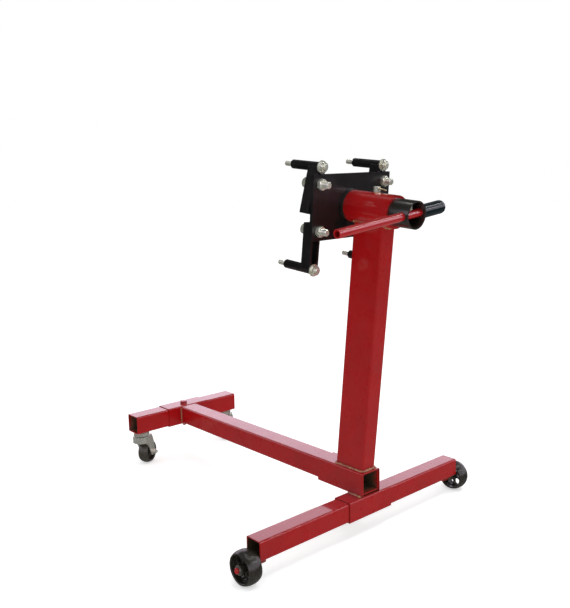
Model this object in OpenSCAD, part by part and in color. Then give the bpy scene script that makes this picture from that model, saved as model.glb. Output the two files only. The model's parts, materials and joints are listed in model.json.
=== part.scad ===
// Rotating-head engine stand on a T-shaped base.
// Frame: +Z up, +X to the operator's right, +Y from the post towards the engine.
// Origin: on the floor, under the middle of the rear crossbar.

/* [Base] */
// Outer width of the square socket that the main beam slides into
socket_w = 55; // [54:1:60]
// Reach of the socket in front of the rear crossbar's axis
socket_reach = 117; // [100:1:140]
// Outer width of the main beam
beam_w = 50; // [46:1:50]
// Outer height of the main beam
beam_h = 48; // [44:1:49]
// Wall of the main beam
beam_t = 2.5; // [2:0.5:4]
// Distance from the rear crossbar's axis to the near face of the front sleeve
beam_reach = 685; // [600:5:800]
// Outer width of the rear sleeve, welded under the beam
rear_sleeve_w = 47; // [47:1:50]
// Length of the rear sleeve
rear_sleeve_l = 134; // [110:2:160]
// Outer width of the rear leg tube
rear_leg_w = 42; // [38:1:42]
// Length of the rear leg tube
rear_leg_l = 632; // [520:4:760]
// Length of the front sleeve
front_sleeve_l = 134; // [110:2:160]
// Outer width of the front sleeve
front_sleeve_w = 53; // [53:1:56]
// Outer width of the front leg tube
front_leg_w = 49; // [46:1:49]
// Length of the front leg tube
front_leg_l = 338; // [280:2:420]
// Rise of the beam towards the engine, in degrees
beam_tilt = 0.7; // [0:0.1:0.8]

/* [Post and head] */
// Angle that the post leans back from the engine, in degrees
lean = 6; // [0:0.5:10]
// Depth of the post tube, along the beam
post_d = 80; // [60:2:80]
// Width of the post tube, across the beam
post_w = 40; // [30:1:50]
// Distance from the rear crossbar's axis to the post's middle, at the beam
post_y = 25; // [20:1:40]
// Height of the head's axis where it crosses the post, above the floor under a level beam
head_z = 714; // [600:2:800]
// Outer diameter of the head sleeve
head_od = 68; // [66:1:76]
// Length of the head sleeve behind the post's axis
head_back = 58; // [50:1:75]
// Length of the head sleeve in front of the post's axis
head_front = 60; // [60:1:70]
// Outer diameter of the spindle tube
spindle_od = 57; // [50:1:58]
// How far the spindle's open end stands behind the post's axis
spindle_back = 108; // [100:1:130]

/* [Mounting plate and arms] */
// Width of the mounting plate
plate_w = 230; // [220:2:250]
// Height of the mounting plate
plate_h = 136; // [130:2:136]
// Thickness of the mounting plate
plate_t = 8; // [6:0.5:10]
// Distance between the left and the right arm pivots
pivot_dx = 190; // [180:2:200]
// Distance between the upper and the lower arm pivots
pivot_dz = 96; // [96:2:100]
// Turn of the plate about the head's axis as it stands, in degrees
plate_turn = 1.7; // [0:0.1:3]
// Width of an arm
arm_w = 25; // [24:1:27]
// Depth of an arm
arm_d = 26; // [24:1:28]
// Length of an arm from its spacer's axis to its tail
arm_l = 98; // [94:1:100]
// Length of a spacer tube
spacer_l = 84; // [70:1:110]

/* [Handle] */
// Diameter of the handle bar
bar_d = 18; // [16:1:18]
// Turn of the bar against the plate, in degrees
bar_turn = 6; // [0:1:10]
// Reach of the bar to the left of the spindle's axis
bar_left = 206; // [160:2:240]
// Reach of the bar and its grip to the right of the spindle's axis
bar_right = 99; // [95:1:110]

/* [Wheels] */
// Diameter of the rear wheels
wheel_d = 70; // [66:1:72]
// Width of a rear wheel's rim
rear_wheel_w = 31.5; // [28:0.5:32]
// Diameter of the rear axle rods, welded under the leg tube
axle_d = 12.5; // [12:0.5:13]
// Distance from the leg tube's underside down to the rear axle's axis
axle_drop = 9.6; // [9:0.1:12]
// Diameter of the caster wheels
caster_d = 65; // [60:1:68]
// Width of a caster wheel
caster_w = 28.5; // [26:0.5:29]
// Trail of a caster: from its swivel axis to its axle
trail = 29; // [26:1:31]
// Direction that both casters trail in as the stand is parked, in degrees from +X
park = 32; // [0:1:90]

/* [Hidden] */
$fn = 72;

gap = 0.1;      // space between faces that meet
snug = 0.05;    // radial clearance of a close fit
over = 1;       // how far a cutter runs past the face it opens

// Heights are square to the beam.
wheel_r = wheel_d / 2;
leg_z = wheel_r + axle_drop + rear_leg_w / 2;       // axis of the rear leg tube
sleeve_top = leg_z + rear_sleeve_w / 2;
beam_top = sleeve_top + socket_w;                   // top of the socket, where the post stands
beam_z = beam_top - 1.9 - beam_h / 2;               // axis of the beam
front_z = beam_top - 0.6 - front_sleeve_w / 2;      // axis of the front sleeve
front_y = beam_reach + front_sleeve_w / 2;          // axis of the front crossbar
front_leg_bottom = front_z - front_leg_w / 2;
caster_x = front_leg_l / 2 - 25.5;
caster_r = caster_d / 2;
// A caster's axle; the beam's rise lifts it, so it sits lower against the beam.
caster_z = caster_r - (front_y + trail * sin(park)) * tan(beam_tilt);

head_l = (head_z - beam_top) / cos(lean);           // post foot to head axis, along the post
head_r = head_od / 2;
spindle_r = spindle_od / 2;
plate_y = head_front + 6;                           // rear face of the plate
arm_y = plate_y + plate_t + gap;                    // near face of the arms
arm_end = arm_y + arm_d;
bar_y = -(spindle_back - 15);                       // axis of the handle bar

red = [0.66, 0.06, 0.07];
black = [0.09, 0.09, 0.09];
zinc = [0.83, 0.82, 0.72];
steel = [0.72, 0.73, 0.74];
charcoal = [0.24, 0.24, 0.21];
brass = [0.78, 0.7, 0.45];
grip_green = [0.05, 0.2, 0.2];

// Arm places: [pivot's side in x, its side in z,
//   direction from pivot to spacer in degrees from +Z towards +X, distance pivot to spacer]
upper_left = [-1, 1, 12.5, 35.3];
upper_right = [1, 1, 6.2, 34.2];
lower_left = [-1, -1, 182.8, 82.4];
lower_right = [1, -1, 176.5, 82.4];
function arm_angle(place) = place[2];
function arm_reach(place) = place[3];

// ---------- frames ----------
// The base, pivoted about the rear axle by the beam's rise
module tilted()
  translate([0, 0, wheel_r]) rotate([beam_tilt, 0, 0]) translate([0, 0, -wheel_r]) children();

// The post, +Z along it from its foot
module on_post() tilted() translate([0, post_y, beam_top]) rotate([lean, 0, 0]) children();

// The head, +Y along its axis
module head() on_post() translate([0, 0, head_l]) children();

// The rotating head, turned with the plate
module turned() head() rotate([0, -plate_turn, 0]) children();

module to_pivot(side_x, side_z, y = 0)
  translate([side_x * pivot_dx / 2, y, side_z * pivot_dz / 2]) children();

// An arm: the spacer's axis is +Y and the arm runs down from it
module at_arm(place) turned() to_pivot(place[0], place[1])
  rotate([0, arm_angle(place), 0]) translate([0, 0, arm_reach(place)]) children();

// The handle bar within the rotating head, +X along the bar
module to_bar() translate([0, bar_y, 0]) rotate([0, -bar_turn, 0]) children();

// Swivel axes of the casters, not turned to the parked direction
module both_casters()
  tilted() for (side = [-1, 1]) translate([side * caster_x, front_y, 0]) children();

// One caster, +X in its trailing direction
module caster(side)
  tilted() translate([side * caster_x, front_y, 0]) rotate([0, 0, park]) children();

// The rear axle, +Z outwards on the given side
module on_axle(side, x) translate([side * x, 0, wheel_r]) rotate([0, side * 90, 0]) children();

// ---------- shapes ----------
module round_square(w, h, corner) {
  square([w - 2 * corner, h], center = true);
  square([w, h - 2 * corner], center = true);
  for (x = [-1, 1], y = [-1, 1])
    translate([x * (w / 2 - corner), y * (h / 2 - corner)]) circle(corner);
}

module tube_section(w, h, wall, corner) difference() {
  round_square(w, h, corner);
  round_square(w - 2 * wall, h - 2 * wall, max(corner - wall, 0.8));
}

module x_tube(w, wall, corner, length)
  rotate([90, 0, 90]) linear_extrude(height = length, center = true)
    tube_section(w, w, wall, corner);

module y_tube(w, h, wall, corner, y0, y1)
  translate([0, (y0 + y1) / 2, 0]) rotate([90, 0, 0])
    linear_extrude(height = y1 - y0, center = true) tube_section(w, h, wall, corner);

module cyl_y(r, y0, y1) translate([0, y0, 0]) rotate([-90, 0, 0]) cylinder(r = r, h = y1 - y0);

module cyl_x(r, x0, x1) translate([x0, 0, 0]) rotate([0, 90, 0]) cylinder(r = r, h = x1 - x0);

// Hexagon with its upper corners chamfered by a cone
module hex_z(across, h) {
  face_r = across / 2 - 0.3;
  intersection() {
    cylinder(d = across / cos(30), h = h, $fn = 6);
    cylinder(r1 = face_r + h, r2 = face_r, h = h);
  }
}

module hex_nut_z(across, h, bore_r) difference() {
  hex_z(across, h);
  translate([0, 0, -over]) cylinder(r = bore_r, h = h + 2 * over);
}

module washer_z(outer_r, bore_r, h) difference() {
  cylinder(r = outer_r, h = h);
  translate([0, 0, -over]) cylinder(r = bore_r, h = h + 2 * over);
}

module chamfer_rod_z(r, h, chamfer) {
  cylinder(r = r, h = h - chamfer);
  translate([0, 0, h - chamfer]) cylinder(r1 = r, r2 = r - chamfer, h = chamfer);
}

// Bolt seated at z = 0: its head below, its shank above
module bolt_z(across, head_h, r, length, chamfer, head_turn = 0) {
  mirror([0, 0, 1]) rotate([0, 0, head_turn]) hex_z(across, head_h);
  chamfer_rod_z(r, length, chamfer);
}

// ---------- base ----------
sleeve_corner = 3.5;        // outer corner radius of the socket and sleeves
tube_corner = 4;            // outer corner radius of the beam, legs and post
leg_wall = 2.5;
lock_r = 5;                 // bolts that lock the legs in their sleeves
lock_thread_r = lock_r + snug;
lock_hole_r = 5.5;
lock_nut_across = 17;
king_r = 6;                 // king bolts of the casters

module beam_socket() color(red) tilted() translate([0, 0, sleeve_top + socket_w / 2])
  y_tube(socket_w, socket_w - 2 * gap, 1.7, sleeve_corner, -rear_sleeve_w / 2, socket_reach);

// The beam starts a little in front of the rear sleeve's back face.
module main_beam() color(red) tilted() translate([0, 0, beam_z])
  y_tube(beam_w, beam_h, beam_t, tube_corner, -rear_sleeve_w / 2 + 2.5, beam_reach - gap);

// The rear lock bolt's hole is in the underside only.
module rear_lock_hole(r) translate([0, 0, leg_z - rear_sleeve_w])
  cylinder(r = r, h = rear_sleeve_w);

module rear_sleeve() color(red) tilted() difference() {
  translate([0, 0, leg_z]) x_tube(rear_sleeve_w, 2, sleeve_corner, rear_sleeve_l);
  rear_lock_hole(lock_hole_r);
}

module rear_leg_tube() color(red) tilted() difference() {
  translate([0, 0, leg_z]) x_tube(rear_leg_w, leg_wall, tube_corner, rear_leg_l);
  rear_lock_hole(lock_thread_r);
}

// The front lock bolt passes right through.
module front_lock_hole() translate([0, front_y, front_z - front_sleeve_w])
  cylinder(r = lock_hole_r, h = 2 * front_sleeve_w);

module front_sleeve() color(red) tilted() difference() {
  translate([0, front_y, front_z]) x_tube(front_sleeve_w, 1.8, sleeve_corner, front_sleeve_l);
  front_lock_hole();
}

module front_leg_tube() color(red) difference() {
  tilted() translate([0, front_y, front_z])
    x_tube(front_leg_w, leg_wall, tube_corner, front_leg_l);
  tilted() front_lock_hole();
  both_casters() translate([0, 0, front_leg_bottom - 5]) cylinder(r = king_r + 0.5, h = 10);
}

module front_lock_bolt() color(red) tilted()
  translate([0, front_y, front_z + front_sleeve_w / 2 + gap]) mirror([0, 0, 1])
    bolt_z(across = 19, head_h = 6.6, r = lock_r, length = front_sleeve_w + 14, chamfer = 1);

module front_lock_nut() color(zinc) tilted()
  translate([0, front_y, front_z - front_sleeve_w / 2 - gap]) mirror([0, 0, 1])
    hex_nut_z(lock_nut_across, 8, lock_thread_r);

module rear_lock_bolt() color(zinc) tilted()
  translate([0, 0, leg_z - rear_sleeve_w / 2 - gap])
    bolt_z(across = lock_nut_across, head_h = 6.4, r = lock_r, length = 14, chamfer = 1);

// ---------- post and head ----------
post_extra = 20;            // length below the foot, trimmed to the socket's top
boss_h = 6.5;
screw_across = 13;          // lock screw's head and boss nut
screw_r = 4;
screw_play = 0.2;           // space under the screw's head, and under the pad
screw_head_z = head_r + gap + boss_h + screw_play;
pad_h = 3;
screw_tip_z = spindle_r + screw_play + pad_h + gap;
lever_r = 1.5;
lever_l = 23;
lever_dip = 8;              // degrees below square to the screw

module post() color(red) difference() {
  on_post() translate([0, 0, -post_extra]) linear_extrude(height = head_l + post_extra)
    tube_section(post_w, post_d, 2.5, tube_corner);
  tilted() translate([-100, -100, beam_top + gap - 200]) cube([200, 300, 200]);
  head() cyl_y(head_r + gap, -100, 100);
}

module head_sleeve() color(red) head() difference() {
  cyl_y(head_r, -head_back, head_front);
  cyl_y(spindle_r + 0.08, -head_back - over, head_front + over);
  cylinder(r = screw_r + 0.2, h = 2 * head_r);
}

module lock_boss_nut() color(zinc) head() translate([0, 0, head_r + gap])
  hex_nut_z(screw_across, boss_h, screw_r + 0.1);

module lock_pad() color(brass) head() translate([0, 0, spindle_r + screw_play])
  cylinder(r = 3.6, h = pad_h);

module lock_screw() {
  shank_top = screw_head_z + 0.2;     // runs a little into the head
  color(zinc) head() difference() {
    union() {
      translate([0, 0, screw_head_z]) hex_z(screw_across, 5.6);
      translate([0, 0, shank_top]) mirror([0, 0, 1])
        chamfer_rod_z(screw_r, shank_top - screw_tip_z, 0.8);
    }
    lever_axis() cylinder(r = lever_r + snug, h = 40);
  }
}

// The lever leaves the screw's head backwards and dips towards the sleeve.
module lever_axis()
  translate([0, -1, screw_head_z + 2.7]) rotate([90 + lever_dip, 0, 0]) children();

module lock_screw_lever() color(brass) head() lever_axis() translate([0, 0, gap]) {
  cylinder(r = lever_r, h = lever_l);
  translate([0, 0, lever_l]) sphere(r = lever_r);
}

// ---------- rotating head ----------
spindle_wall = 3.2;
set_screw_r = 3;
pivot_r = 7;                // pivot bolts
pivot_hole_r = pivot_r + 0.3;
pivot_across = 21;
pivot_head_h = 9;           // bolt heads and nuts
pivot_washer_t = 3;
pivot_seat = arm_end + pivot_washer_t + 2 * gap;    // underside of the bolt heads

module spindle_tube() color(black) turned() difference() {
  cyl_y(spindle_r, -spindle_back, plate_y - gap);
  cyl_y(spindle_r - spindle_wall, -spindle_back - over, plate_y + over);
  to_bar() cyl_x(bar_d / 2 + 0.3, -40, 40);
  to_bar() cylinder(r = set_screw_r + 0.1, h = 40);
}

module thrust_collar() color(black) turned() difference() {
  cyl_y(spindle_r + 8, head_front + 0.3, plate_y - gap);
  cyl_y(spindle_r + snug, head_front - over, plate_y + over);
}

module mounting_plate() color(black) turned() difference() {
  translate([-plate_w / 2, plate_y, -plate_h / 2]) cube([plate_w, plate_t, plate_h]);
  for (x = [-1, 1], z = [-1, 1])
    to_pivot(x, z) cyl_y(pivot_hole_r, plate_y - over, plate_y + plate_t + over);
}

module arm_pivot_bolts() color(zinc) turned() for (x = [-1, 1], z = [-1, 1])
  to_pivot(x, z, pivot_seat) rotate([90, 0, 0])
    bolt_z(across = pivot_across, head_h = pivot_head_h, r = pivot_r,
      length = pivot_seat - plate_y + 24.5, chamfer = 1.5, head_turn = 30);

// The lower nuts stand turned 10 degrees, the upper ones 30.
module arm_pivot_nuts() color(zinc) turned() for (x = [-1, 1], z = [-1, 1])
  to_pivot(x, z, plate_y - gap) rotate([90, 0, 0]) rotate([0, 0, 20 + 10 * z])
    hex_nut_z(pivot_across, pivot_head_h, pivot_r + 0.1);

// ---------- handle ----------
bar_wall = 2.5;
grip_r = 14;
grip_round = 10;            // radius of the grip's outer edge
grip_end_l = 13;            // length of the grip's rounded end
grip_start = spindle_r + 1.6;

module handle_set_screw() color(zinc) turned() to_bar() translate([0, 0, bar_d / 2 + gap])
  cylinder(r = set_screw_r, h = spindle_r - bar_d / 2 - 0.9);

module handle_bar() color(red) turned() to_bar() difference() {
  cyl_x(bar_d / 2, -bar_left, bar_right - 6);
  cyl_x(bar_d / 2 - bar_wall, -bar_left - over, bar_right);
}

module grip_end_section() {
  flat_r = grip_r - grip_round;
  straight_l = grip_end_l - grip_round;
  intersection() {
    square([grip_r, grip_end_l]);
    union() {
      translate([flat_r, straight_l]) circle(grip_round);
      square([grip_r, straight_l]);
      square([flat_r, grip_end_l]);
    }
  }
}

module handle_grip() color(grip_green) turned() to_bar() difference() {
  union() {
    cyl_x(grip_r, grip_start, bar_right - grip_end_l);
    translate([bar_right - grip_end_l, 0, 0]) rotate([0, 90, 0])
      rotate_extrude() grip_end_section();
  }
  cyl_x(bar_d / 2 + snug, grip_start - over, bar_right - 5);
}

// ---------- arms ----------
arm_wall = 4;
slot_r = 7.5;
slot_top = -20;             // centre of the slot's end nearest the spacer
slot_bottom = -86;          // centre of the slot's end nearest the tail
spacer_r = 9.5;
spacer_bore_r = 6.6;
engine_bolt_r = 6;

module arm(place) color(black) at_arm(place) difference() {
  translate([0, arm_y, -arm_l / 2]) rotate([-90, 0, 0])
    linear_extrude(height = arm_d) round_square(arm_w, arm_l, 2);
  translate([0, arm_y + arm_wall, -arm_l / 2]) rotate([-90, 0, 0])
    linear_extrude(height = arm_d - 2 * arm_wall)
      square([arm_w - 2 * arm_wall, arm_l + 1], center = true);
  cyl_y(spacer_r + 0.1, arm_y - over, arm_end + over);
  for (z = [slot_top, slot_bottom])
    translate([0, 0, z]) cyl_y(slot_r, arm_y - over, arm_end + over);
  translate([-slot_r, arm_y - over, slot_bottom])
    cube([2 * slot_r, arm_d + 2 * over, slot_top - slot_bottom]);
}

module spacer(place) color(black) at_arm(place) difference() {
  cyl_y(spacer_r, arm_y, arm_y + spacer_l);
  cyl_y(spacer_bore_r, arm_y - over, arm_y + spacer_l + over);
}

// Head, shank through the spacer, and a thinner tip towards the engine;
// a stub stands out of the back of the head.
module engine_bolt(place) color(zinc) at_arm(place) {
  translate([0, arm_y - 2.6, 0]) rotate([90, 0, 0]) {
    hex_z(19, 7.5);
    chamfer_rod_z(5.6, 11.5, 1);
  }
  cyl_y(engine_bolt_r, arm_y - 2.7, arm_y + spacer_l + 0.1);
  translate([0, arm_y + spacer_l, 0]) rotate([-90, 0, 0]) chamfer_rod_z(5, 24, 1.5);
}

module engine_washer(place) color(zinc) at_arm(place)
  translate([0, arm_y - 0.05, 0]) rotate([90, 0, 0]) washer_z(13, engine_bolt_r + 0.5, 2.5);

module pivot_washer(place) color(zinc) at_arm(place)
  translate([0, arm_end + gap, -arm_reach(place)]) rotate([-90, 0, 0])
    washer_z(14, pivot_hole_r, pivot_washer_t);

// ---------- rear wheels ----------
axle_r = axle_d / 2;
rod_lap = 26;               // length of an axle rod under the leg tube
hub_offset = 4;             // from the leg tube's end to the hub
hub_x = rear_leg_l / 2 + hub_offset;    // inner end of a rear wheel's hub
rear_hub_w = rear_wheel_w + 0.5;
axle_washer_t = 2;
axle_play = 0.2;            // between hub, washer and cap
weld_w = 9;                 // block between the rod and the leg tube
rim_t = 7;

module rear_axle_rods() color(red) for (side = [-1, 1]) {
  on_axle(side, rear_leg_l / 2 - rod_lap)
    chamfer_rod_z(axle_r, rod_lap + hub_offset + rear_hub_w + 8.5, 1);
  tilted() translate([side * (rear_leg_l - rod_lap) / 2 - rod_lap / 2, -weld_w / 2, wheel_r])
    cube([rod_lap, weld_w, axle_drop - gap]);
}

module rear_axle_washers() {
  inner_x = hub_x - axle_play - axle_washer_t;
  outer_x = hub_x + rear_hub_w + axle_play;
  color(charcoal) for (side = [-1, 1], x = [inner_x, outer_x])
    on_axle(side, x) washer_z(10.5, axle_r + 0.3, axle_washer_t);
}

module rear_axle_caps() color(charcoal) for (side = [-1, 1])
  on_axle(side, hub_x + rear_hub_w + axle_washer_t + 2 * axle_play) difference() {
    cylinder(r1 = axle_r + 2.6, r2 = axle_r + 1.6, h = 2.2);
    translate([0, 0, -over]) cylinder(r = axle_r + 0.02, h = 5);
  }

// hole_turn: where the ring of six recesses starts, in degrees
module rear_wheel(side, hole_turn) color(charcoal)
  translate([side * (hub_x + rear_hub_w / 2), 0, wheel_r]) rotate([0, 90, 0]) difference() {
    union() {
      // Rim, crowned by a sphere
      intersection() {
        rotate_extrude() translate([wheel_r - rim_t / 2, 0])
          round_square(rim_t, rear_wheel_w, 2);
        sphere(r = wheel_r + 0.35);
      }
      // Web and hub
      translate([0, 0, side * 0.5]) cylinder(r = wheel_r - 5, h = 6, center = true);
      cylinder(r = 10.4, h = rear_hub_w, center = true);
    }
    cylinder(r = axle_r + snug, h = 60, center = true);
    for (k = [0 : 5]) rotate([0, 0, 60 * k + hole_turn]) translate([19.4, 0, 0])
      cylinder(r = 7.8, h = 9, center = true);
  }

// ---------- casters ----------
crown_z = front_leg_bottom - 14;        // top of the fork's crown
crown_r = 24.5;
crown_t = 3;
cheek_t = 2.6;
cheek_y = caster_w / 2 + 1.3 + cheek_t / 2;     // middle of a cheek's thickness
cheek_seat = cheek_y + cheek_t / 2 + gap;       // where the axle's bolt head and nut sit
caster_axle_r = 4;
caster_across = 13;                     // axle bolt's head and nut
caster_rim_t = 8;
tread_r = 24;                           // radius of the tread across its width

module caster_king_bolts() {
  head_top = crown_z - 6;
  shank_z = head_top - 0.5;             // runs a little into the head
  color(zinc) both_casters() {
    translate([0, 0, head_top]) mirror([0, 0, 1]) cylinder(r = 9, h = 6);
    translate([0, 0, shank_z]) chamfer_rod_z(king_r, front_leg_bottom - shank_z + 18, 1);
  }
}

// Inside the front leg tube, on its floor
module caster_king_nuts() color(zinc) both_casters()
  translate([0, 0, front_leg_bottom + leg_wall + gap]) hex_nut_z(19, 10, king_r + 0.1);

// A cup open downwards
module caster_upper_races() {
  race_r = 21.5;
  cone_h = 3;
  color(steel) both_casters()
    translate([0, 0, front_leg_bottom - gap]) mirror([0, 0, 1]) difference() {
      union() {
        cylinder(r1 = 18.5, r2 = race_r, h = cone_h);
        translate([0, 0, cone_h]) cylinder(r = race_r, h = 9.5);
      }
      translate([0, 0, 7.9]) cylinder(r = 19.8, h = 10);
      translate([0, 0, -over]) cylinder(r = king_r + 0.2, h = 20);
    }
}

module caster_balls() color(steel) both_casters() for (k = [0 : 11])
  rotate([0, 0, 30 * k]) translate([16, 0, crown_z + 3]) sphere(r = 2.9);

// Side view of a cheek: [distance from the swivel axis towards the axle, height]
module fork_cheek() union() {
  polygon([
    [-18, crown_z - 0.5], [-18, crown_z - 17], [-10, crown_z - 20],
    [0, crown_z - 26], [9, crown_z - 35], [trail - 10, caster_z - 3],
    [trail + 10.3, caster_z - 2], [trail + 10.8, caster_z + 10],
    [trail + 8.5, caster_z + 26], [trail + 3, caster_z + 40], [trail - 5, crown_z - 0.5]
  ]);
  translate([trail, caster_z]) circle(10.5);
}

module caster_fork(side) color(steel) caster(side) difference() {
  union() {
    translate([0, 0, crown_z - crown_t]) cylinder(r = crown_r, h = crown_t);
    // Skirt, on the side away from the axle
    intersection() {
      difference() {
        translate([0, 0, crown_z - 18]) cylinder(r = crown_r, h = 17);
        translate([0, 0, crown_z - 20]) cylinder(r = crown_r - 2.5, h = 30);
      }
      translate([-40, -40, 0]) cube([28, 80, 200]);
    }
    for (y = [-1, 1]) translate([0, y * cheek_y, 0]) rotate([90, 0, 0])
      linear_extrude(height = cheek_t, center = true) fork_cheek();
  }
  translate([0, 0, crown_z - 10]) cylinder(r = king_r + 0.3, h = 20);
  caster_axle(0) cylinder(r = caster_axle_r + 0.1, h = 60, center = true);
}

// On the caster's axle at y, +Z towards -Y
module caster_axle(y) translate([trail, y, caster_z]) rotate([90, 0, 0]) children();

module caster_axle_bolt(side) color(zinc) caster(side) caster_axle(cheek_seat)
  bolt_z(across = caster_across, head_h = 5.3, r = caster_axle_r,
    length = cheek_seat + cheek_y + 14, chamfer = 0.8);

module caster_axle_nut(side) color(zinc) caster(side) caster_axle(-cheek_seat)
  hex_nut_z(caster_across, 7.5, caster_axle_r + snug);

module caster_rim_section() intersection() {
  translate([caster_r - caster_rim_t / 2, 0]) round_square(caster_rim_t, caster_w, 2.6);
  translate([caster_r - tread_r, 0]) circle(tread_r);
}

module caster_wheel(side) color(charcoal) caster(side) caster_axle(0) difference() {
  union() {
    rotate_extrude() caster_rim_section();
    cylinder(r = caster_r - 6, h = 9, center = true);
    cylinder(r = 9, h = caster_w + 2, center = true);
  }
  cylinder(r = caster_axle_r + snug, h = 60, center = true);
}

beam_socket();
main_beam();
rear_sleeve();
rear_leg_tube();
front_sleeve();
front_leg_tube();
post();
head_sleeve();
lock_boss_nut();
front_lock_bolt();
front_lock_nut();
rear_lock_bolt();
rear_axle_rods();
rear_axle_washers();
rear_axle_caps();
caster_king_bolts();
caster_king_nuts();
caster_upper_races();
caster_balls();
lock_pad();
lock_screw();
lock_screw_lever();
spindle_tube();
thrust_collar();
mounting_plate();
arm_pivot_bolts();
arm_pivot_nuts();
handle_set_screw();
handle_bar();
handle_grip();
pivot_washer(upper_left);  // upper_left_pivot_washer
arm(upper_left);  // upper_left_arm
spacer(upper_left);  // upper_left_spacer
engine_bolt(upper_left);  // upper_left_engine_bolt
engine_washer(upper_left);  // upper_left_engine_washer
pivot_washer(upper_right);  // upper_right_pivot_washer
arm(upper_right);  // upper_right_arm
spacer(upper_right);  // upper_right_spacer
engine_bolt(upper_right);  // upper_right_engine_bolt
engine_washer(upper_right);  // upper_right_engine_washer
pivot_washer(lower_left);  // lower_left_pivot_washer
arm(lower_left);  // lower_left_arm
spacer(lower_left);  // lower_left_spacer
engine_bolt(lower_left);  // lower_left_engine_bolt
engine_washer(lower_left);  // lower_left_engine_washer
pivot_washer(lower_right);  // lower_right_pivot_washer
arm(lower_right);  // lower_right_arm
spacer(lower_right);  // lower_right_spacer
engine_bolt(lower_right);  // lower_right_engine_bolt
engine_washer(lower_right);  // lower_right_engine_washer
rear_wheel(-1, 10);  // rear_left_wheel
rear_wheel(1, 19.4);  // rear_right_wheel
caster_fork(-1);  // left_caster_fork
caster_axle_bolt(-1);  // left_caster_axle_bolt
caster_axle_nut(-1);  // left_caster_axle_nut
caster_wheel(-1);  // left_caster_wheel
caster_fork(1);  // right_caster_fork
caster_axle_bolt(1);  // right_caster_axle_bolt
caster_axle_nut(1);  // right_caster_axle_nut
caster_wheel(1);  // right_caster_wheel
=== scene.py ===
# Looks of a wheeled engine stand: enamel, zinc, weld beads and bolt threads on its CAD frame.
# Units are metres, +Z up, +Y towards the engine, +X to the right when facing the engine.
import json
import math
import random
import bpy
import bmesh
from mathutils import Matrix, Vector


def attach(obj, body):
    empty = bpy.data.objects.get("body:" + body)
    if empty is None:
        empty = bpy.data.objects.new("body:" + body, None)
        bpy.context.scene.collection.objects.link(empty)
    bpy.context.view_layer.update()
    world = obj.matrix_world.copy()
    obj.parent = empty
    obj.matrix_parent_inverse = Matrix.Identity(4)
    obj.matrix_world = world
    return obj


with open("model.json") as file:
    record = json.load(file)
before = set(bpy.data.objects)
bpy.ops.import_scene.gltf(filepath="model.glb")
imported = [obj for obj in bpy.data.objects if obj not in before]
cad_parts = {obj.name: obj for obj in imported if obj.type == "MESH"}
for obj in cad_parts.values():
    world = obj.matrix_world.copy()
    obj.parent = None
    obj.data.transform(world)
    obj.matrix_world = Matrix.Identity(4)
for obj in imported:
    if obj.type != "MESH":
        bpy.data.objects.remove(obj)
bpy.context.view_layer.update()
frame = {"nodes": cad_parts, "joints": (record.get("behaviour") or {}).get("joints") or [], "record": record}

NODES = frame["nodes"]
RECORD = frame["record"]
JOINTS = {joint["name"]: joint for joint in frame["joints"]}
rng = random.Random(7)
SIDES = ((-1, "left"), (1, "right"))


# ------------------------------------------------------------------ local frames
def joint_place(name):
    return Vector(JOINTS[name]["pos_m"])


def joint_axis(name):
    return Vector(JOINTS[name]["axis"]).normalized()


def basis(origin, x, y, z):
    """A placement matrix from an origin and three axes."""
    matrix = Matrix((x, y, z)).transposed().to_4x4()
    matrix.translation = origin
    return matrix


X_AXIS = Vector((1, 0, 0))
HEAD_PLACE = joint_place("head_spin")
SPINDLE_AXIS = joint_axis("head_spin")

# Base frame: tilted with the beam, +Y along it, its origin a wheel radius below the rear axle.
SWIVEL_AXIS = joint_axis("left_caster_swivel")
BEAM_AXIS = X_AXIS.cross(SWIVEL_AXIS) * -1
WHEEL_RADIUS = joint_place("rear_left_wheel_spin").z
BASE = (basis(Vector((0, 0, WHEEL_RADIUS)), X_AXIS, BEAM_AXIS, SWIVEL_AXIS)
        @ Matrix.Translation((0, 0, -WHEEL_RADIUS)))

# Head frame: +Y along the spindle, +Z up and square to it.
HEAD = basis(HEAD_PLACE, X_AXIS, SPINDLE_AXIS, joint_axis("lock_turn"))

# Plate frame: +Y along the spindle, +X from the left arm pivots to the right ones.
PLATE_X = joint_place("upper_right_swing") - joint_place("upper_left_swing")
PLATE_X.normalize()
PLATE = basis(HEAD_PLACE, PLATE_X, SPINDLE_AXIS, PLATE_X.cross(SPINDLE_AXIS).normalized())
PLATE_INV = PLATE.inverted()


def local_points(node, axes):
    inverse = axes.inverted()
    return [inverse @ v.co for v in NODES[node].data.vertices]


def local_box(node, axes):
    """A node's lowest and highest corners in another frame."""
    columns = list(zip(*local_points(node, axes)))
    return Vector([min(c) for c in columns]), Vector([max(c) for c in columns])


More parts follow.
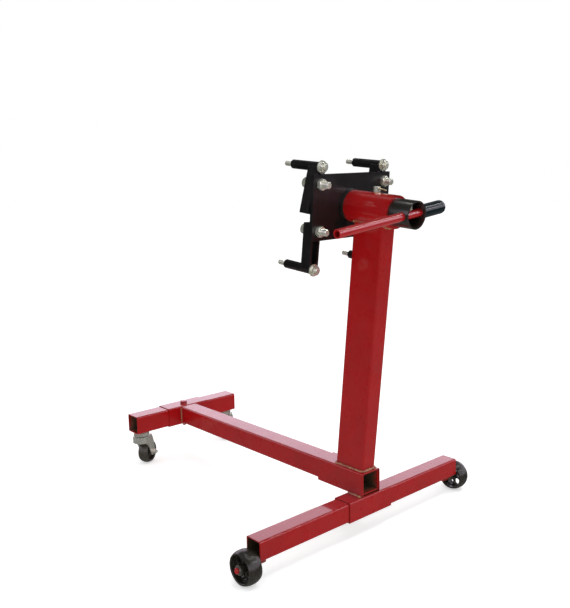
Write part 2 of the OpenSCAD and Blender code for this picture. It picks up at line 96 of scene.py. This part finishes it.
# ------------------------------------------------------------------ shader graphs
class Graph:
    """Adds and wires shader nodes in an emptied node tree."""

    def __init__(self, tree):
        tree.nodes.clear()
        self.tree = tree

    def feed(self, node, inputs):
        """Give each input a number, a colour or a link; None leaves it alone."""
        for key, value in inputs.items():
            if isinstance(value, (int, float)):
                node.inputs[key].default_value = value
            elif isinstance(value, tuple):
                node.inputs[key].default_value = (*value, 1)
            elif value is not None:
                self.tree.links.new(value, node.inputs[key])

    def add(self, kind, inputs={}, **properties):
        node = self.tree.nodes.new("ShaderNode" + kind)
        for key, value in properties.items():
            setattr(node, key, value)
        self.feed(node, inputs)
        return node

    def coord(self):
        return self.add("TexCoord").outputs["Object"]

    def noise(self, coord, scale, detail=3.0, rough=0.5, distort=0.0):
        return self.add("TexNoise", {"Scale": scale, "Detail": detail, "Roughness": rough,
                                     "Distortion": distort, "Vector": coord}).outputs["Fac"]

    def ramp(self, factor, stops):
        """stops: (position, colour) pairs."""
        node = self.add("ValToRGB")
        elements = node.color_ramp.elements
        while len(elements) < len(stops):
            elements.new(0.5)
        for element, (position, color) in zip(elements, stops):
            element.position = position
            element.color = (*color, 1)
        self.feed(node, {"Fac": factor})
        return node.outputs["Color"]

    def mix(self, factor, a, b):
        # 6 and 7 are the Mix node's colour inputs A and B, 2 its colour output
        return self.add("Mix", {"Factor": factor, 6: a, 7: b}, data_type="RGBA").outputs[2]

    def remap(self, value, source, to=(0.0, 1.0)):
        return self.add("MapRange", {"From Min": source[0], "From Max": source[1],
                                     "To Min": to[0], "To Max": to[1],
                                     "Value": value}).outputs["Result"]

    def times(self, a, b, clamp=False):
        return self.add("Math", {0: a, 1: b}, operation="MULTIPLY", use_clamp=clamp).outputs[0]

    def bump(self, height, strength, distance, normal=None):
        return self.add("Bump", {"Strength": strength, "Distance": distance, "Height": height,
                                 "Normal": normal}).outputs["Normal"]

    def edge(self, radius):
        """0 on flats, towards 1 along convex and concave edges."""
        bevel = self.add("Bevel", {"Radius": radius}, samples=4)
        geometry = self.add("NewGeometry")
        dot = self.add("VectorMath", {0: bevel.outputs["Normal"], 1: geometry.outputs["Normal"]},
                       operation="DOT_PRODUCT")
        return self.remap(dot.outputs["Value"], source=(1.0, 0.93))


def new_material(name):
    material = bpy.data.materials.new(name)
    material.use_nodes = True
    graph = Graph(material.node_tree)
    output = graph.add("OutputMaterial")
    bsdf = graph.add("BsdfPrincipled")
    graph.feed(output, {"Surface": bsdf.outputs["BSDF"]})
    return material, graph, bsdf


# ------------------------------------------------------------------ kinds of material
def paint(name, base, deep, wear, rough=0.28, coat=1.0, coat_rough=0.05, peel=0.06, dirt=0.25,
          spec=0.5, wave=0.04, bare_steel_and_shade=None):
    """Enamel: colour drift, smudges, orange peel and thin wear along edges."""
    material, graph, bsdf = new_material(name)
    coord = graph.coord()
    drift = graph.noise(coord, scale=9.0, rough=0.55)
    fine = graph.noise(coord, scale=160.0, detail=4.0, rough=0.6)
    color = graph.mix(graph.remap(drift, source=(0.3, 0.75)), base, deep)
    smudge = graph.noise(coord, scale=34.0, detail=4.0, rough=0.55, distort=0.2)
    smudge_color = tuple(0.55 * c + 0.02 for c in deep)
    color = graph.mix(graph.remap(smudge, source=(0.52, 0.8), to=(0.0, dirt)), color, smudge_color)
    edge = graph.edge(radius=0.0012)
    chips = graph.remap(graph.noise(coord, scale=420.0, rough=0.7), source=(0.55, 0.7))
    worn = graph.times(edge, chips, clamp=True)
    wear_share = 0.28
    color = graph.mix(graph.times(worn, wear_share), color, wear)
    if bare_steel_and_shade is not None:      # dark brown where ambient occlusion is low: real bare steel inside the tubes, painted shade in tight gaps and on undersides near the floor
        occlusion = graph.add("AmbientOcclusion", {"Distance": 0.12}, samples=8)
        steel_and_shade_mask = graph.remap(occlusion.outputs["AO"], source=(0.30, 0.46), to=(1.0, 0.0))
        color = graph.mix(steel_and_shade_mask, color, bare_steel_and_shade)
    roughness = graph.remap(smudge, source=(0.3, 0.8), to=(rough - 0.05, rough + 0.12))
    coat_roughness = graph.remap(fine, source=(0.3, 0.8), to=(coat_rough * 0.7, coat_rough * 1.8))
    peel_height = graph.noise(coord, scale=520.0, detail=2.0)
    wave_height = graph.noise(coord, scale=40.0, detail=2.0)
    normal = graph.bump(peel_height, strength=peel, distance=0.00025)
    normal = graph.bump(wave_height, strength=wave, distance=0.0012, normal=normal)
    graph.feed(bsdf, {"Base Color": color, "Roughness": roughness, "Specular IOR Level": spec,
                      "Coat Weight": coat, "Coat Roughness": coat_roughness,
                      "Normal": normal, "Coat Normal": normal})
    return material


def metal(name, base, tint, rough=0.26, scale=1.0, edge_light=0.25, bump=0.12, metallic=1.0):
    """Plated steel: tint in patches, fine grain, lighter worn edges."""
    material, graph, bsdf = new_material(name)
    coord = graph.coord()
    patch = graph.noise(coord, scale=90.0 * scale, rough=0.6)
    grain = graph.noise(coord, scale=900.0 * scale, rough=0.6)
    color = graph.mix(graph.remap(patch, source=(0.35, 0.7)), base, tint)
    grain_color = tuple(0.55 * c for c in base)
    color = graph.mix(graph.remap(grain, source=(0.5, 0.85), to=(0.0, 0.25)), color, grain_color)
    edge = graph.edge(radius=0.0006)
    edge_color = (0.95, 0.95, 0.93)
    color = graph.mix(graph.times(edge, edge_light), color, edge_color)
    graph.feed(bsdf, {
        "Base Color": color, "Metallic": metallic,
        "Roughness": graph.remap(patch, source=(0.3, 0.8), to=(rough - 0.06, rough + 0.14)),
        "Normal": graph.bump(grain, strength=bump, distance=0.00012)})
    return material


def rubber(name, base, lighter, rough):
    """Hard tread compound: mottled, lighter where scuffed, finely pitted."""
    material, graph, bsdf = new_material(name)
    coord = graph.coord()
    mottle = graph.noise(coord, scale=60.0, detail=5.0, rough=0.65)
    scuff = graph.noise(coord, scale=240.0, detail=4.0, rough=0.6, distort=0.3)
    color = graph.mix(graph.remap(mottle, source=(0.35, 0.75)), base, lighter)
    edge = graph.edge(radius=0.0015)
    scuff_share = 0.5
    scuff_color = tuple(min(1, 1.8 * c) for c in lighter)
    color = graph.mix(graph.times(graph.times(edge, scuff), scuff_share), color, scuff_color)
    graph.feed(bsdf, {
        "Base Color": color,
        "Roughness": graph.remap(scuff, source=(0.3, 0.8), to=(rough - 0.12, rough + 0.15)),
        "Specular IOR Level": 0.45,
        "Normal": graph.bump(scuff, strength=0.35, distance=0.0003)})
    return material


def weld_material(name, painted, pale_fleck_color):
    """Painted bead with pale yellow-brown flecks in patches."""
    material, graph, bsdf = new_material(name)
    coord = graph.coord()
    speckle = graph.noise(coord, scale=210.0, detail=4.0, rough=0.6, distort=0.5)
    patch = graph.noise(coord, scale=60.0, rough=0.6)
    fleck_mask = graph.times(graph.remap(speckle, source=(0.42, 0.6)),
                       graph.remap(patch, source=(0.35, 0.6), to=(0.35, 1.0)), clamp=True)
    graph.feed(bsdf, {
        "Base Color": graph.mix(fleck_mask, painted, pale_fleck_color),
        "Roughness": graph.remap(speckle, source=(0.3, 0.8), to=(0.3, 0.6)),
        "Coat Weight": 0.6, "Coat Roughness": 0.15,
        "Normal": graph.bump(graph.noise(coord, scale=900.0, rough=0.6),
                             strength=0.4, distance=0.0003)})
    return material


# ------------------------------------------------------------------ the materials
SLOT_MATERIALS = {
    # red enamel goes dark brown where occluded: bare steel inside the tubes, painted shade in gaps and under
    # parts near the floor
    "red_paint": paint(
        "red_enamel", base=(0.375, 0.0036, 0.0048), deep=(0.315, 0.0032, 0.0043),
        wear=(0.46, 0.06, 0.05), dirt=0.10, spec=0.12, bare_steel_and_shade=(0.075, 0.058, 0.034)),
    "handle_paint": paint(
        "red_handle_enamel", base=(0.40, 0.010, 0.013), deep=(0.32, 0.007, 0.009),
        wear=(0.5, 0.1, 0.08), rough=0.12, coat_rough=0.03, dirt=0.06, spec=0.4, peel=0.02,
        wave=0.0),
    "black_paint": paint(
        "black_enamel", base=(0.0085, 0.0075, 0.0078), deep=(0.0055, 0.0050, 0.0052),
        wear=(0.10, 0.10, 0.095), rough=0.34, coat=0.6, coat_rough=0.16, peel=0.12, dirt=0.2,
        spec=0.2),
    "zinc": metal(
        "zinc_fasteners", base=(0.84, 0.86, 0.78), tint=(0.70, 0.70, 0.54), rough=0.22,
        metallic=0.72, bump=0.03, edge_light=0.12),
    "caster_zinc": metal(
        "zinc_caster_steel", base=(0.72, 0.72, 0.66), tint=(0.52, 0.51, 0.42), rough=0.24,
        scale=0.6, metallic=0.7),
    "dark_steel": metal(
        "dark_washer_steel", base=(0.10, 0.095, 0.08), tint=(0.16, 0.14, 0.11), rough=0.42,
        metallic=0.7),
    "brass": metal(
        "yellow_passivated_pin", base=(0.80, 0.74, 0.46), tint=(0.70, 0.62, 0.36), rough=0.28),
    "ball_steel": metal("ball_steel", base=(0.8, 0.8, 0.8), tint=(0.7, 0.7, 0.7), rough=0.12),
    "grip_plastic": paint(
        "grip_plastic", base=(0.0006, 0.0080, 0.0115), deep=(0.0005, 0.0060, 0.0085),
        wear=(0.02, 0.06, 0.07), rough=0.13, coat=0.2, coat_rough=0.05, peel=0.03, dirt=0.05,
        spec=0.3, wave=0.0),
    "wheel_rubber": rubber(
        "wheel_compound", base=(0.016, 0.0145, 0.011), lighter=(0.034, 0.030, 0.022), rough=0.27),
}
SPINDLE = paint(
    "spindle_enamel", base=(0.020, 0.018, 0.014), deep=(0.012, 0.011, 0.009),
    wear=(0.14, 0.13, 0.11), rough=0.32, coat=0.9, coat_rough=0.10, peel=0.10, dirt=0.2, spec=0.2)
CASTER_WHEEL = rubber(
    "caster_wheel_compound", base=(0.034, 0.030, 0.022), lighter=(0.052, 0.046, 0.033), rough=0.38)
# weld beads: dark red with pale yellow-brown flecks scattered in patches
WELD = weld_material("weld_bead", painted=(0.26, 0.008, 0.008), pale_fleck_color=(0.52, 0.33, 0.12))

# nodes whose material differs from their slot's
NODE_MATERIALS = {"spindle_tube": SPINDLE, "thrust_collar": SPINDLE,
                  "left_caster_wheel": CASTER_WHEEL, "right_caster_wheel": CASTER_WHEEL}
SLOT_OF = {part["node"]: part["material_slot"] for part in RECORD["subparts"]}
for name, node in NODES.items():
    node.data.materials.clear()
    node.data.materials.append(NODE_MATERIALS.get(name, SLOT_MATERIALS[SLOT_OF[name]]))


# ------------------------------------------------------------------ mesh helpers
def mesh_object(name, verts, faces, material):
    mesh = bpy.data.meshes.new(name)
    mesh.from_pydata(verts, [], faces)
    obj = bpy.data.objects.new(name, mesh)
    bpy.context.scene.collection.objects.link(obj)
    mesh.materials.append(material)
    return obj


def piece(name, verts, faces, body, material, smooth):
    """A mesh that rides on a body of the stand."""
    obj = mesh_object(name, verts, faces, material)
    for polygon in obj.data.polygons:
        polygon.use_smooth = smooth
    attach(obj, body)
    return obj


def sweep(points, radius, closed, sides):
    """A tube along points, capped if open; radius(i) gives each ring's size."""
    count = len(points)
    verts, faces = [], []
    previous = None
    for i, point in enumerate(points):
        before = points[(i - 1) % count] if (closed or i > 0) else point
        after = points[(i + 1) % count] if (closed or i < count - 1) else point
        along = (after - before).normalized()
        up = Vector((0, 0, 1))
        up = up - along * up.dot(along)
        if up.length < 1e-4:
            up = along.orthogonal()
        up.normalize()
        if previous is not None and up.dot(previous) < 0:
            up = -up
        previous = up
        across = along.cross(up)
        size = radius(i)
        for k in range(sides):
            angle = 2 * math.pi * k / sides
            verts.append(point + (up * math.cos(angle) + across * math.sin(angle)) * size)
    for i in range(count if closed else count - 1):
        ring, following = i * sides, (i + 1) % count * sides
        for k in range(sides):
            m = (k + 1) % sides
            faces.append((ring + k, ring + m, following + m, following + k))
    if not closed:
        faces.append(tuple(range(sides))[::-1])
        faces.append(tuple((count - 1) * sides + k for k in range(sides)))
    return verts, faces


def resample(points, step, closed):
    """Evenly spaced points along a line, about step apart."""
    points = [Vector(p) for p in points]
    if closed:
        points = points + [points[0]]
    total = sum((b - a).length for a, b in zip(points, points[1:]))
    count = max(2, round(total / step))
    wanted = [total * i / count for i in range(1, count + (0 if closed else 1))]
    result = [points[0].copy()]
    done, j = 0.0, 0
    for a, b in zip(points, points[1:]):
        length = (b - a).length
        while j < len(wanted) and wanted[j] <= done + length + 1e-9:
            result.append(a.lerp(b, (wanted[j] - done) / length if length else 0))
            j += 1
        done += length
    return result


def rounded_rectangle(x_lo, x_hi, y_lo, y_hi, corner, grow=0.0):
    """Outline of (x, y) with five points a corner, pushed out by grow."""
    centres = ((x_hi - corner, y_hi - corner, 0), (x_lo + corner, y_hi - corner, 90),
               (x_lo + corner, y_lo + corner, 180), (x_hi - corner, y_lo + corner, 270))
    outline = []
    for x, y, start in centres:
        for k in range(5):
            angle = math.radians(start + 22.5 * k)
            outline.append((x + (corner + grow) * math.cos(angle),
                            y + (corner + grow) * math.sin(angle)))
    return outline


# ------------------------------------------------------------------ weld beads
BEAD_STEP = 0.00075     # between rings
RIPPLE_PITCH = 4.2      # rings per ripple
WOBBLE_PITCH = 14       # rings per random change of size


def bead(name, points, radius, closed=False):
    """A bead of overlapping ripples, slightly uneven, tapered at open ends."""
    path = resample(points, BEAD_STEP, closed)
    count = len(path)
    wobbles = [rng.uniform(-1, 1) for _ in range(count // WOBBLE_PITCH + 3)]

    def ring_radius(i):
        place = i / WOBBLE_PITCH
        k = int(place)
        blend = place - k
        wobble = (wobbles[k % len(wobbles)] * (1 - blend)
                  + wobbles[(k + 1) % len(wobbles)] * blend)
        phase = (i % RIPPLE_PITCH) / RIPPLE_PITCH
        ripple = 0.84 + 0.2 * math.sin(math.pi * min(1, phase * 1.15)) ** 0.7
        taper = 1.0
        if not closed:
            from_end = min(i, count - 1 - i) * BEAD_STEP / (radius * 1.2)
            taper = math.sqrt(max(0.08, min(1, from_end)))
        return radius * ripple * (1 + 0.10 * wobble) * taper

    jitter = [Vector([rng.uniform(-1, 1) for _ in range(3)]) * radius * 0.05
              for _ in range(count)]
    verts, faces = sweep([p + q for p, q in zip(path, jitter)], ring_radius, closed, sides=12)
    piece(name, verts, faces, "frame", WELD, smooth=True)


STAND_OFF = 0.0006      # from a wall to the middle of most beads


def on_base(x, y, z):
    return BASE @ Vector((x, y, z))


def weld_beam():
    """Beads where the beam meets the rear and front sleeves."""
    # some frames hold the beam's rear end in a socket of its own
    socket = "beam_socket" if "beam_socket" in NODES else "main_beam"
    socket_hi = local_box(socket, BASE)[1]
    beam_lo, beam_hi = local_box("main_beam", BASE)
    rear_lo, rear_hi = local_box("rear_sleeve", BASE)
    front_y = local_box("front_sleeve", BASE)[0].y - 0.0004
    top = rear_hi.z
    for side, label in SIDES:
        x = side * (socket_hi.x + STAND_OFF)
        bead(f"weld_beam_rear_{label}", [on_base(x, rear_lo.y + 0.004, top + STAND_OFF),
                                         on_base(x, rear_hi.y - 0.003, top + STAND_OFF)], 0.0030)
        x = side * (beam_hi.x + STAND_OFF)
        bead(f"weld_beam_front_{label}", [on_base(x, front_y, beam_lo.z + 0.003),
                                          on_base(x, front_y, beam_hi.z - 0.003)], 0.0026)
    far_x, far_y, far_z = socket_hi.x - 0.003, rear_hi.y + STAND_OFF, top - 0.0002
    bead("weld_beam_far", [on_base(-far_x, far_y, far_z), on_base(far_x, far_y, far_z)], 0.0026)


POST_CORNER = 0.004


def weld_post_foot():
    """Bead round the post's lowest section."""
    points = local_points("post", BASE)
    bottom = min(p.z for p in points)
    ring = [p for p in points if p.z < bottom + 0.0005]
    xs, ys = [p.x for p in ring], [p.y for p in ring]
    outline = rounded_rectangle(min(xs), max(xs), min(ys), max(ys), POST_CORNER, grow=0.0012)
    bead("weld_post_foot", [on_base(x, y, bottom + 0.0008) for x, y in outline],
         0.0031, closed=True)


SLEEVE_RADIUS = local_box("head_sleeve", HEAD)[1].x


def weld_head_saddle():
    """Bead round the post's top, bent over the underside of the head sleeve."""
    post_lo, post_hi = local_box("post", BASE)
    half_x, half_y = (post_hi.x - post_lo.x) / 2, 0.040
    outline = rounded_rectangle(-half_x, half_x, -half_y, half_y, POST_CORNER)
    path = []
    for (x, y), (next_x, next_y) in zip(outline, outline[1:] + outline[:1]):
        steps = max(1, int(math.hypot(next_x - x, next_y - y) / 0.002))
        for k in range(steps):
            wall_x = x + (next_x - x) * k / steps
            wall_y = y + (next_y - y) * k / steps
            grow = 1 + 0.0010 / max(abs(wall_x), abs(wall_y))
            out_x, out_y = wall_x * grow, wall_y * grow
            drop = math.sqrt(max(1e-9, SLEEVE_RADIUS * SLEEVE_RADIUS - out_x * out_x))
            path.append(HEAD @ Vector((out_x, out_y, -drop - STAND_OFF)))
    bead("weld_head_saddle", path, 0.0024, closed=True)


def weld_lock_nut():
    """Thin fillet round the lock nut on top of the head sleeve."""
    nut_lo, nut_hi = local_box("lock_boss_nut", HEAD)
    radius = (nut_hi.x - nut_lo.x) / 2 * 0.93
    path = []
    for k in range(40):
        angle = 2 * math.pi * k / 40
        x = radius * math.cos(angle)
        height = math.sqrt(SLEEVE_RADIUS * SLEEVE_RADIUS - x ** 2) + 0.0004
        path.append(HEAD @ Vector((x, radius * math.sin(angle), height)))
    bead("weld_lock_nut", path, 0.0011, closed=True)


def weld_axles():
    """Pairs of short beads under both ends of the rear leg tube."""
    leg_lo, leg_hi = local_box("rear_leg_tube", BASE)
    z = leg_lo.z - STAND_OFF
    for side, label in SIDES:
        for direction, tag in ((-1, "near"), (1, "far")):
            y = direction * 0.0056
            bead(f"weld_axle_{label}_{tag}", [on_base((leg_hi.x - inset) * side, y, z)
                                              for inset in (0.025, 0.003)], 0.0014)


weld_beam()
weld_post_foot()
weld_head_saddle()
weld_lock_nut()
weld_axles()


# ------------------------------------------------------------------ threads on bolts and studs
def thread(name, axes, radius, crest, pitch, start, end, body):
    """A raised helix round local +Y from start to end, fading out at both."""
    verts, faces = [], []
    segments = 28
    turns = (end - start - pitch * 0.9) / pitch
    total = max(segments, int(segments * turns))
    root = radius - 0.0002
    half_width = pitch * 0.40
    half_crest = half_width * 0.22
    for i in range(total + 1):
        angle = 2 * math.pi * i / segments
        y = start + pitch * 0.45 + pitch * i / segments
        fade = min(1.0, i / (segments * 0.5), (total - i) / (segments * 0.5))
        top = radius - 0.00005 + (crest - radius) * fade
        for reach, shift in ((root, -half_width), (top, -half_crest),
                             (top, half_crest), (root, half_width)):
            verts.append(axes @ Vector((reach * math.cos(angle), y + shift,
                                        reach * math.sin(angle))))
    for i in range(total):
        for k in range(4):
            a, b = i * 4 + k, i * 4 + (k + 1) % 4
            faces.append((a, b, b + 4, a + 4))
    faces.append((0, 3, 2, 1))
    faces.append(tuple(total * 4 + k for k in range(4)))
    obj = piece(name, verts, faces, body, SLOT_MATERIALS["zinc"], smooth=False)
    edit = bmesh.new()
    edit.from_mesh(obj.data)
    bmesh.ops.recalc_face_normals(edit, faces=edit.faces)
    edit.to_mesh(obj.data)
    edit.free()


PIVOT_START = local_box("arm_pivot_bolts", PLATE)[0].y + 0.0012
PIVOT_END = local_box("arm_pivot_nuts", PLATE)[0].y - 0.0001
for arm in ("upper_left", "upper_right", "lower_left", "lower_right"):
    pivot = PLATE_INV @ joint_place(arm + "_swing")
    thread(f"thread_pivot_{arm}", PLATE @ Matrix.Translation((pivot.x, 0, pivot.z)),
           radius=0.0070, crest=0.00735, pitch=0.0018, start=PIVOT_START, end=PIVOT_END,
           body="head")
    mount = next(m for m in RECORD["mounts"] if m["name"] == arm + "_engine_stud")
    stud = PLATE_INV @ Vector(mount["pos_m"])
    thread(f"thread_engine_{arm}", PLATE @ Matrix.Translation(stud),
           radius=0.0050, crest=0.0053, pitch=0.0015, start=-0.0105, end=0.0108,
           body=arm + "_arm")


# ------------------------------------------------------------------ stage
def add_floor(half=30.0, z=-0.0004):
    """Pale, faintly glowing floor, unseen by reflections."""
    material, graph, bsdf = new_material("pale_floor")
    graph.feed(bsdf, {"Base Color": (0.90, 0.90, 0.90), "Roughness": 0.9,
                      "Emission Color": (1, 1, 1), "Emission Strength": 0.50})
    corners = [(-half, -half, z), (half, -half, z), (half, half, z), (-half, half, z)]
    floor = mesh_object("floor", corners, [(0, 1, 2, 3)], material)
    floor.visible_glossy = False


def add_engine_flag(left=-0.70, right=1.60, y=0.42, bottom=0.45, top=1.60):
    """A dark upright card where the engine would stand: only reflections see it."""
    material, graph, bsdf = new_material("engine_flag")
    graph.feed(bsdf, {"Base Color": (0.02, 0.018, 0.016), "Roughness": 1.0,
                      "Specular IOR Level": 0.0})
    corners = [(left, y, bottom), (right, y, bottom), (right, y, top), (left, y, top)]
    flag = mesh_object("engine_flag", corners, [(0, 1, 2, 3)], material)
    for ray in ("camera", "diffuse", "shadow", "transmission"):
        setattr(flag, "visible_" + ray, False)


add_floor()
add_engine_flag()


# ------------------------------------------------------------------ world
def grey(value):
    return (value,) * 3


# (height, colour) from straight down at 0, through the horizon at 0.5, to straight up at 1
REFLECTED = [(0.0, grey(0.22)), (0.32, grey(0.17)), (0.44, grey(0.035)), (0.495, grey(0.01)),
             (0.520, (1.75, 1.60, 1.85)), (0.76, (1.60, 1.46, 1.70)),
             (0.83, grey(0.12)), (1.0, grey(0.06))]
DIFFUSE = [(0.0, grey(0.45)), (0.5, grey(0.42)), (0.75, grey(0.75)), (1.0, grey(1.0))]


def add_world():
    """White to the camera, a bright band above the horizon to reflections, soft light to the rest."""
    world = bpy.data.worlds.new("studio")
    bpy.context.scene.world = world
    world.use_nodes = True
    graph = Graph(world.node_tree)
    output = graph.add("OutputWorld")
    direction = graph.add("TexCoord").outputs["Generated"]
    up = graph.add("SeparateXYZ", {0: direction}).outputs["Z"]
    height = graph.remap(up, source=(-1.0, 1.0))

    def background(color, strength):
        return graph.add("Background", {"Color": color, "Strength": strength}).outputs[0]

    reflected = graph.ramp(height, REFLECTED)
    diffuse = graph.ramp(height, DIFFUSE)
    ray = graph.add("LightPath").outputs
    glossy_light = background(reflected, strength=1.0)
    diffuse_light = background(diffuse, strength=0.8)
    seen = background((1, 1, 1), strength=1.0)
    unseen = graph.add("MixShader", {0: ray["Is Glossy Ray"], 1: diffuse_light, 2: glossy_light})
    surface = graph.add("MixShader", {0: ray["Is Camera Ray"], 1: unseen.outputs[0], 2: seen})
    graph.feed(output, {"Surface": surface.outputs[0]})


add_world()


# ------------------------------------------------------------------ lights
def area(name, place, target, size, power):
    light = bpy.data.lights.new(name, "AREA")
    light.shape = "RECTANGLE"
    light.size, light.size_y = size
    light.energy = power
    light.spread = math.pi
    obj = bpy.data.objects.new(name, light)
    bpy.context.scene.collection.objects.link(obj)
    obj.location = place
    obj.rotation_mode = "QUATERNION"
    obj.rotation_quaternion = (Vector(target) - Vector(place)).to_track_quat("-Z", "Y")


area("strip_high", place=(1.5, -1.0, 2.9), target=(1.5, 0.0, 0.7), size=(3.2, 0.09), power=20)
area("strip_low", place=(1.5, -2.2, 1.9), target=(1.5, 0.0, 0.7), size=(3.2, 0.04), power=9)
area("top", place=(0.1, 0.5, 3.0), target=(0, 0.2, 0.3), size=(0.22, 3.0), power=11)


# ------------------------------------------------------------------ camera
def add_camera():
    """Set by azimuth, elevation and roll, then tilted about X together with its place."""
    azimuth, elevation, roll, tilt = (math.radians(v) for v in (-41.33, 8.99, -1.07, 0.7))
    place = Vector((-1.14974, -1.05479, 0.76180))    # before the tilt
    pivot_before, pivot_after = Vector((0, 0, 0.036)), Vector((0, 0, 0.035))

    data = bpy.data.cameras.new("camera")
    data.sensor_width = 36.0
    data.lens = 43.5215132
    data.clip_start, data.clip_end = 0.05, 100.0
    camera = bpy.data.objects.new("camera", data)
    bpy.context.scene.collection.objects.link(camera)
    back = Vector((math.sin(azimuth) * math.cos(elevation),
                   -math.cos(azimuth) * math.cos(elevation), math.sin(elevation)))
    level = (-back).cross(Vector((0, 0, 1))).normalized()
    upright = level.cross(-back)
    right = level * math.cos(roll) + upright * math.sin(roll)
    up = -level * math.sin(roll) + upright * math.cos(roll)
    turn = Matrix.Rotation(tilt, 3, "X")
    camera.matrix_world = basis(turn @ (place - pivot_before) + pivot_after,
                                turn @ right, turn @ up, turn @ back)
    bpy.context.scene.camera = camera


add_camera()
bpy.context.scene.view_settings.view_transform = "Standard"
